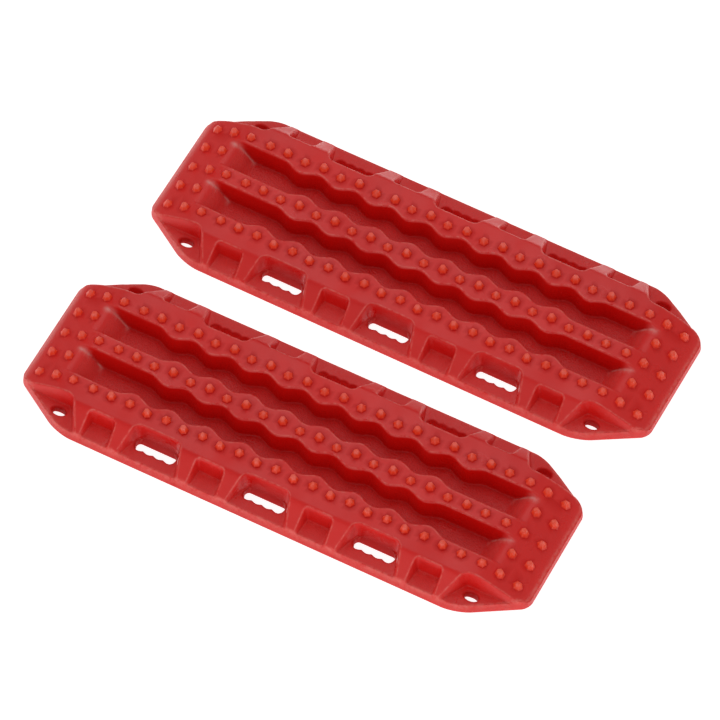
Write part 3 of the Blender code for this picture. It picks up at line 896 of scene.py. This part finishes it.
def small_pocket_cells():
    """Outlines of the shallow recesses under the small pockets."""
    near = SMALL_POCKET_Y + POCKET_DRAFT + WALL
    far = SMALL_HOLLOW_OUTER
    cells = []
    for centre, half in SMALL_POCKETS:
        reach = half - POCKET_DRAFT - WALL
        for x in (-centre, centre):
            cells.append(box_ring(x - reach, x + reach, near, far))
            cells.append(box_ring(x - reach, x + reach, -far, -near))
    return cells


def solid_spans(y):
    """Stretches of x at the given y that lie between the side pockets."""
    inner_y, inner_x, run = CORNER_POCKET
    corner = inner_x - run * (y - inner_y)
    edges = [-corner]
    for centre, pocket_y, half, widen, radius in sorted(pocket_list()):
        reach = half + widen * (y - pocket_y)
        edges += [centre - reach, centre + reach]
    edges.append(corner)
    return list(zip(edges[::2], edges[1::2]))


def buttress_cells():
    """Outlines of the hollows under the ribs between the side pockets."""
    near = SMALL_POCKET_Y - WALL + 2 * RIB_HALF
    far = BUTTRESS_HOLLOW_OUTER
    cells = []
    for (a, b), (c, d) in zip(solid_spans(near), solid_spans(far)):
        ring = [(a + WALL, near), (b - WALL, near), (d - WALL, far), (c + WALL, far)]
        ring = subdivide(ring + ring[:1], 0.3)[:-1]
        cells.append(ring)
        cells.append([(x, -y) for x, y in ring])
    return cells


def end_cells():
    """Outlines of the hollows under the end ramps."""
    cells = []
    width = 2 * (NOSE_HALF_WIDTH - WALL) / END_HOLLOWS
    for end in (-1, 1):
        x = sorted((end * (CHANNEL_TOP_HALF + WALL), end * (NOSE_START - WALL)))
        for i in range(END_HOLLOWS):
            low = -NOSE_HALF_WIDTH + WALL + i * width + RIB_HALF
            cells.append(box_ring(x[0], x[1], low, low + width - 2 * RIB_HALF))
    return cells


def underside(openings):
    """The flat underside, with its hollows between the ribs."""
    plan = Plan()
    plan.line(outline_ring(0.0), closed=True)
    for ring in openings:
        plan.line(ring, closed=True)
    deep_cells = ridge_cells() + buttress_cells() + end_cells()
    groups = ((deep_cells, None),
              (channel_floor_cells(), CHANNEL_FLOOR - WALL),
              (small_pocket_cells(), FLANGE - WALL))
    roofs = []
    for cells, flat_roof in groups:
        for ring in cells:
            plan.line(ring, closed=True)
            for inset, share in HOLLOW_EDGE:
                ids = plan.line(offset_ring(ring, -inset), closed=True)
                roofs.append((ids, flat_roof, share))
    xy, triangles, where = plan.triangulate()
    triangles = keep_material(xy, triangles, openings)
    z = np.zeros(len(xy))
    for ids, flat_roof, share in roofs:
        at = np.array([where[i] for i in ids])
        roof = flat_roof
        if roof is None:
            roof = blank_height(xy[at, 0], xy[at, 1]) - WALL
        z[at] = roof * share
    rims = [points_on_ring(xy, ring) for ring in openings]
    return np.column_stack([xy, z]), triangles[:, ::-1], rims


# ---------------------------------------------------------------- one mat
def build_mat_mesh():
    """Both skins, joined by the walls of the openings, with the masks as attributes."""
    top, top_faces, top_rims, paint = top_skin(opening_list(SLOT_TOP, TIE_HOLE))
    low, low_faces, low_rims = underside(opening_list(SLOT_GROUND, TIE_HOLE_GROUND))
    count = len(top)
    faces = [tuple(f) for f in top_faces] + [tuple(f + count) for f in low_faces]
    low_rims = [[(along, index + count) for along, index in rim] for rim in low_rims]
    for upper, lower, ring in zip(top_rims, low_rims, opening_list(SLOT_TOP, TIE_HOLE)):
        faces += stitch(upper, lower, len(ring))
    mesh = bpy.data.meshes.new("traction_mat")
    verts = np.vstack([top, low]) * PITCH
    mesh.from_pydata([tuple(v) for v in verts], [], faces)
    for name, values in paint.items():
        values = np.concatenate([values, np.zeros(len(low))])
        # the walls of the openings get full painted shade
        if name == "painted_shade":
            for rim in top_rims + low_rims:
                values[[index for along, index in rim]] = 1.0
        layer = mesh.attributes.new(name, "FLOAT", "POINT")
        layer.data.foreach_set("value", values)
    return weld(mesh)


def weld(mesh):
    """Join the two skins along the ground edge and clean up what is left over."""
    bm = bmesh.new()
    bm.from_mesh(mesh)
    bmesh.ops.remove_doubles(bm, verts=bm.verts, dist=WELD_GAP)
    loose = [v for v in bm.verts if not v.link_faces]
    bmesh.ops.delete(bm, geom=loose, context="VERTS")
    bmesh.ops.recalc_face_normals(bm, faces=bm.faces)
    bm.to_mesh(mesh)
    bm.free()
    mesh.shade_smooth()
    mesh.set_sharp_from_angle(angle=SHARP_BEND)
    return mesh


# ---------------------------------------------------------------- materials
class Graph:
    """Short names for the shader nodes of one material."""

    def __init__(self, name):
        self.material = bpy.data.materials.new(name)
        self.material.use_nodes = True
        self.tree = self.material.node_tree
        self.shader = self.tree.nodes["Principled BSDF"]

    def node(self, kind, values=None, **settings):
        node = self.tree.nodes.new(kind)
        for key, value in settings.items():
            setattr(node, key, value)
        for key, value in (values or {}).items():
            self.put(node.inputs[key], value)
        return node

    def put(self, socket, value):
        if isinstance(value, bpy.types.NodeSocket):
            self.tree.links.new(value, socket)
        else:
            socket.default_value = value

    def mask(self, name):
        """One of the masks that the mesh carries at its points."""
        return self.node("ShaderNodeAttribute", attribute_name=name).outputs["Fac"]

    def maths(self, operation, a, b, clamp=False):
        node = self.node("ShaderNodeMath", {0: a, 1: b}, operation=operation, use_clamp=clamp)
        return node.outputs[0]

    def times(self, a, b):
        return self.maths("MULTIPLY", a, b)

    def noise(self, scale, detail=2.0, roughness=0.5):
        place = self.node("ShaderNodeTexCoord").outputs["Object"]
        values = {"Vector": place, "Scale": scale, "Detail": detail, "Roughness": roughness}
        return self.node("ShaderNodeTexNoise", values).outputs["Fac"]

    def ramp(self, value, low, high):
        """The value as a share of the way from low to high."""
        values = {"Value": value, "From Min": low, "From Max": high}
        return self.node("ShaderNodeMapRange", values, clamp=True).outputs["Result"]

    def mix(self, share, a, b):
        node = self.node("ShaderNodeMix", data_type="RGBA")
        self.put(node.inputs["Factor"], share)
        self.put(node.inputs["A"], a)
        self.put(node.inputs["B"], b)
        return node.outputs["Result"]


PURE_RED = (0.78, 0.0050, 0.0030, 1)
WARM_RED = (0.86, 0.0080, 0.0045, 1)
GRAIN_RED = (0.42, 0.0030, 0.0035, 1)
# colours of painted shade, sheen, glow and highlights, and of the stress lines
SHADED_RED = (0.40, 0.0020, 0.0020, 1)
PAINTED_SHEEN_RED = (0.86, 0.055, 0.049, 1)
PAINTED_GLOW_ORANGE = (0.95, 0.060, 0.016, 1)
PAINTED_HIGHLIGHT_PINK = (0.92, 0.17, 0.14, 1)
STRESS_AND_HIGHLIGHT_PINK = (0.90, 0.33, 0.30, 1)
STUD_GLOW = (1.0, 0.10, 0.03, 1.0)
RED_DEPTH = (1.0, 0.15, 0.08)         # how far each colour of light travels in the nylon


def nylon_colour(g, grain):
    """Base colour: red, darker in the grain; painted shade in the hollows; painted sheen, glow and
    highlights; paler along the stress lines.
    """
    # broad cloudy variation, as the melt cooled
    cloud = g.ramp(g.noise(6.0, 3.0), 0.35, 0.65)
    colour = g.mix(cloud, PURE_RED, WARM_RED)
    # fine grain, deepest on the channel and pocket floors
    speck = g.ramp(grain, 0.36, 0.64)
    colour = g.mix(g.times(g.mask("grain"), g.times(speck, 0.28)), colour, GRAIN_RED)
    # painted shade: deeper red down the walls' feet, on the pockets' walls, round the studs' feet
    # and inside the openings
    colour = g.mix(g.times(g.mask("painted_shade"), 0.6), colour, SHADED_RED)
    # painted sheen: a paler red on the ends and sides, most on the channels' end ramps
    colour = g.mix(g.times(g.mask("painted_sheen"), 0.9), colour, PAINTED_SHEEN_RED)
    # painted glow: the studs turned orange as if lit through
    colour = g.mix(g.times(g.mask("stud"), 0.85), colour, PAINTED_GLOW_ORANGE)
    # painted highlights along the edges, and the pale lines at the ends of the channels, partly
    # stress whitening and partly painted highlight
    highlight_breaks = g.ramp(g.noise(90.0, 4.0, 0.7), 0.36, 0.60)
    colour = g.mix(g.times(g.mask("painted_highlight"), g.times(highlight_breaks, 0.85)), colour, PAINTED_HIGHLIGHT_PINK)
    blush = g.ramp(g.noise(30.0, 3.0, 0.6), 0.35, 0.60)
    return g.mix(g.times(g.mask("stress_and_highlight"), g.times(blush, 0.95)), colour, STRESS_AND_HIGHLIGHT_PINK)


def red_nylon():
    """Red moulded nylon: clear red with depth, a painted orange glow on the studs, grained floors,
    painted highlights on the edges.
    """
    g = Graph("red_nylon")
    g.material.cycles.emission_sampling = "NONE"
    grain = g.noise(300.0, 2.0, 0.6)
    g.put(g.shader.inputs["Base Color"], nylon_colour(g, grain))

    # painted glow standing in for light carried through the thin studs
    g.put(g.shader.inputs["Emission Color"], STUD_GLOW)
    g.put(g.shader.inputs["Emission Strength"], g.times(g.mask("stud"), 0.09))

    # satin, with less sheen where shade is painted, inside the openings and at the walls' feet, and
    # under the painted sheen
    g.put(g.shader.inputs["Roughness"], g.ramp(g.noise(14.0, 3.0), -0.15, 1.6))
    dull = g.maths("ADD", g.times(g.mask("painted_shade"), 0.42), g.times(g.mask("painted_sheen"), 0.3))
    sheen = g.maths("SUBTRACT", 0.5, dull, clamp=True)
    g.put(g.shader.inputs["Specular IOR Level"], sheen)
    g.put(g.shader.inputs["Subsurface Weight"], 0.20)
    g.put(g.shader.inputs["Subsurface Radius"], RED_DEPTH)
    g.put(g.shader.inputs["Subsurface Scale"], 0.0010)

    strength = g.maths("ADD", g.times(g.mask("grain"), 0.75), 0.25)
    bump = g.node("ShaderNodeBump", {"Height": grain, "Distance": 0.0016})
    g.put(bump.inputs["Strength"], strength)
    g.put(g.shader.inputs["Normal"], bump.outputs["Normal"])
    return g.material


# ---------------------------------------------------------------- the scene
FLOOR_SIZE = 30
FLOOR_GREY = (0.60, 0.60, 0.60, 1.0)
FLOOR_GLOW = 0.85             # light of its own, which keeps the floor near white

# the camera, around the front mat's middle
AIM_X = 0.208                 # where the lens looks, in pitches
AIM_Y = 5.740
CAMERA_AZIMUTH = math.radians(27.93)
CAMERA_ELEVATION = math.radians(57.22)
CAMERA_ROLL = math.radians(-0.215)
CAMERA_DISTANCE = 277.78      # in pitches
LENS = 284.63                 # mm
SENSOR = 36.0                 # mm

WORLD_LIGHT = 0.40
# name, place in metres, size in metres, power in watts
LIGHTS = (("overhead", (-0.8, 1.5, 2.9), 2.6, 18),
          ("front", (0.5, -3.2, 1.5), 2.4, 14),
          ("edge", (0.9, -1.9, 3.0), 0.7, 3))


def place_mats():
    """Two objects that share one mesh, each standing for one CAD node."""
    mesh = build_mat_mesh()
    mesh.materials.append(red_nylon())
    for name, low, high, turn in (("front_mat", front_low, front_high, 0.0),
                                  ("rear_mat", rear_low, rear_high, REAR_TURN)):
        piece = bpy.data.objects.new(name + "_moulding", mesh)
        bpy.context.scene.collection.objects.link(piece)
        piece.location = ((low.x + high.x) / 2, (low.y + high.y) / 2, 0.0)
        piece.rotation_euler = (0.0, 0.0, turn)
        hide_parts(name)
        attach(piece, name)


def make_floor():
    bpy.ops.mesh.primitive_plane_add(size=FLOOR_SIZE)
    floor = bpy.context.object
    floor.name = "floor"
    material = bpy.data.materials.new("pale_floor")
    material.use_nodes = True
    shader = material.node_tree.nodes["Principled BSDF"]
    shader.inputs["Base Color"].default_value = FLOOR_GREY
    shader.inputs["Roughness"].default_value = 0.9
    shader.inputs["Emission Color"].default_value = (1.0, 1.0, 1.0, 1.0)
    shader.inputs["Emission Strength"].default_value = FLOOR_GLOW
    floor.data.materials.append(material)


def make_camera():
    """A long lens from the front right, looking down at the pair."""
    front_x = (front_low.x + front_high.x) / 2
    front_y = (front_low.y + front_high.y) / 2
    target = Vector((front_x + AIM_X * PITCH, front_y + AIM_Y * PITCH, 0.0))
    level = math.cos(CAMERA_ELEVATION)
    back = Vector((math.sin(CAMERA_AZIMUTH) * level,
                   -math.cos(CAMERA_AZIMUTH) * level,
                   math.sin(CAMERA_ELEVATION)))
    data = bpy.data.cameras.new("camera")
    data.lens = LENS
    data.sensor_width = SENSOR
    camera = bpy.data.objects.new("camera", data)
    bpy.context.scene.collection.objects.link(camera)
    camera.location = target + back * (CAMERA_DISTANCE * PITCH)
    camera.rotation_mode = "QUATERNION"
    roll = Quaternion((0.0, 0.0, 1.0), CAMERA_ROLL)
    camera.rotation_quaternion = (-back).to_track_quat("-Z", "Y") @ roll
    data.clip_end = 100
    bpy.context.scene.camera = camera


def area_light(name, location, size, power):
    """A square lamp that looks at the pair's middle."""
    data = bpy.data.lights.new(name, "AREA")
    data.size = size
    data.energy = power
    light = bpy.data.objects.new(name, data)
    bpy.context.scene.collection.objects.link(light)
    light.location = location
    light.rotation_mode = "QUATERNION"
    light.rotation_quaternion = (-Vector(location)).to_track_quat("-Z", "Y")


def make_lights():
    world = bpy.data.worlds.new("studio")
    bpy.context.scene.world = world
    world.use_nodes = True
    background = world.node_tree.nodes["Background"]
    background.inputs["Color"].default_value = (1, 1, 1, 1)
    background.inputs["Strength"].default_value = WORLD_LIGHT
    for light in LIGHTS:
        area_light(*light)
    bpy.context.scene.view_settings.view_transform = "Standard"


place_mats()
make_floor()
make_camera()
make_lights()
